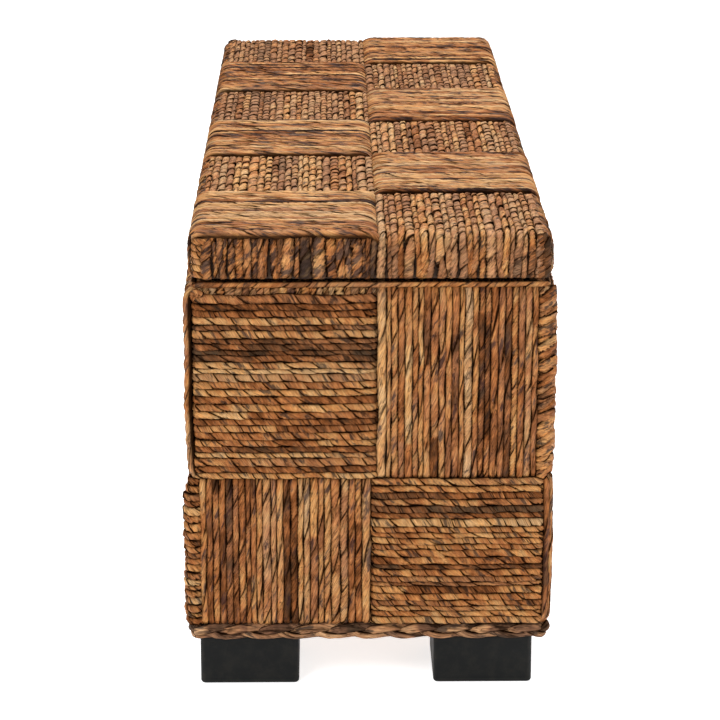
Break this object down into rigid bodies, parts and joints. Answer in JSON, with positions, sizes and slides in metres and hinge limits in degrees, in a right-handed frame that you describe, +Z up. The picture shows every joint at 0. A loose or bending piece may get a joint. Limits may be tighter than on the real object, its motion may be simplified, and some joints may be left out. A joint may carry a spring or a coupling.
{
  "type": "wicker storage trunk",
  "caption": "Long bench-height storage trunk clad in an oversized basket weave of twisted leaf rope, with a thick hinged woven lid, a plaited bottom edge and black block feet.",
  "frame": {"origin": "on the floor, under the middle of the trunk", "axes": "+X along the trunk's length, +Y towards the hinges at the back, +Z up"},
  "size_m": [1.2, 0.4, 0.521],
  "materials": {
    "leaf_rope": "satin",
    "leaf_braid": "satin",
    "black_foot": "satin",
    "timber": "matte",
    "ply_lining": "satin",
    "steel": "satin"
  },
  "bodies": {
    "trunk": {"back_bottom_rail": "timber", "back_left_foot": "black_foot", "back_left_foot_bolt": "steel", "back_left_post": "timber", "back_lining": "ply_lining", "back_right_foot": "black_foot", "back_right_foot_bolt": "steel", "back_right_post": "timber", "back_top_rail": "timber", "back_weave": "leaf_rope", "bottom_braid": "leaf_braid", "bottom_panel": "ply_lining", "front_bottom_rail": "timber", "front_left_foot": "black_foot", "front_left_foot_bolt": "steel", "front_left_post": "timber", "front_lining": "ply_lining", "front_right_foot": "black_foot", "front_right_foot_bolt": "steel", "front_right_post": "timber", "front_top_rail": "timber", "front_weave": "leaf_rope", "hinge_1_body_leaf": "steel", "hinge_1_pin": "steel", "hinge_2_body_leaf": "steel", "hinge_2_pin": "steel", "hinge_3_body_leaf": "steel", "hinge_3_pin": "steel", "left_bottom_rail": "timber", "left_lining": "ply_lining", "left_stay_wall_bracket": "steel", "left_top_rail": "timber", "left_weave": "leaf_rope", "right_bottom_rail": "timber", "right_lining": "ply_lining", "right_stay_wall_bracket": "steel", "right_top_rail": "timber", "right_weave": "leaf_rope", "rim_rope": "leaf_rope"},
    "lid": {"hinge_1_lid_leaf": "steel", "hinge_2_lid_leaf": "steel", "hinge_3_lid_leaf": "steel", "left_stay_lid_bracket": "steel", "lid_back_rail": "timber", "lid_back_weave": "leaf_rope", "lid_front_rail": "timber", "lid_front_weave": "leaf_rope", "lid_left_rail": "timber", "lid_left_weave": "leaf_rope", "lid_lining": "ply_lining", "lid_middle_rail": "timber", "lid_right_rail": "timber", "lid_right_weave": "leaf_rope", "lid_top_board": "timber", "lid_top_weave": "leaf_rope", "right_stay_lid_bracket": "steel"},
    "left_lower_arm": {"left_stay_lower_arm": "steel"},
    "left_upper_arm": {"left_stay_upper_arm": "steel"},
    "right_lower_arm": {"right_stay_lower_arm": "steel"},
    "right_upper_arm": {"right_stay_upper_arm": "steel"}
  },
  "joints": [
    {"name": "lid_hinge", "type": "hinge", "parent": "trunk", "child": "lid", "pos_m": [0, 0.1966, 0.4659], "axis": [-1, 0, 0], "range_deg": [0, 95]},
    {"name": "left_stay_wall_pivot", "type": "hinge", "parent": "trunk", "child": "left_lower_arm", "pos_m": [-0.5509, 0.1266, 0.2459], "axis": [-1, 0, 0], "range_deg": [0, 95]},
    {"name": "left_stay_knee", "type": "hinge", "parent": "left_lower_arm", "child": "left_upper_arm", "pos_m": [-0.5483, -0.0534, 0.2329], "axis": [-1, 0, 0], "range_deg": [-95, 0]},
    {"name": "right_stay_wall_pivot", "type": "hinge", "parent": "trunk", "child": "right_lower_arm", "pos_m": [0.5509, 0.1266, 0.2459], "axis": [-1, 0, 0], "range_deg": [0, 95]},
    {"name": "right_stay_knee", "type": "hinge", "parent": "right_lower_arm", "child": "right_upper_arm", "pos_m": [0.5483, -0.0534, 0.2329], "axis": [-1, 0, 0], "range_deg": [-95, 0]}
  ],
  "couplings": [
    {"joint": "left_stay_wall_pivot", "follows": "lid_hinge", "ratio": 1},
    {"joint": "left_stay_knee", "follows": "lid_hinge", "ratio": -1},
    {"joint": "right_stay_wall_pivot", "follows": "lid_hinge", "ratio": 1},
    {"joint": "right_stay_knee", "follows": "lid_hinge", "ratio": -1}
  ]
}
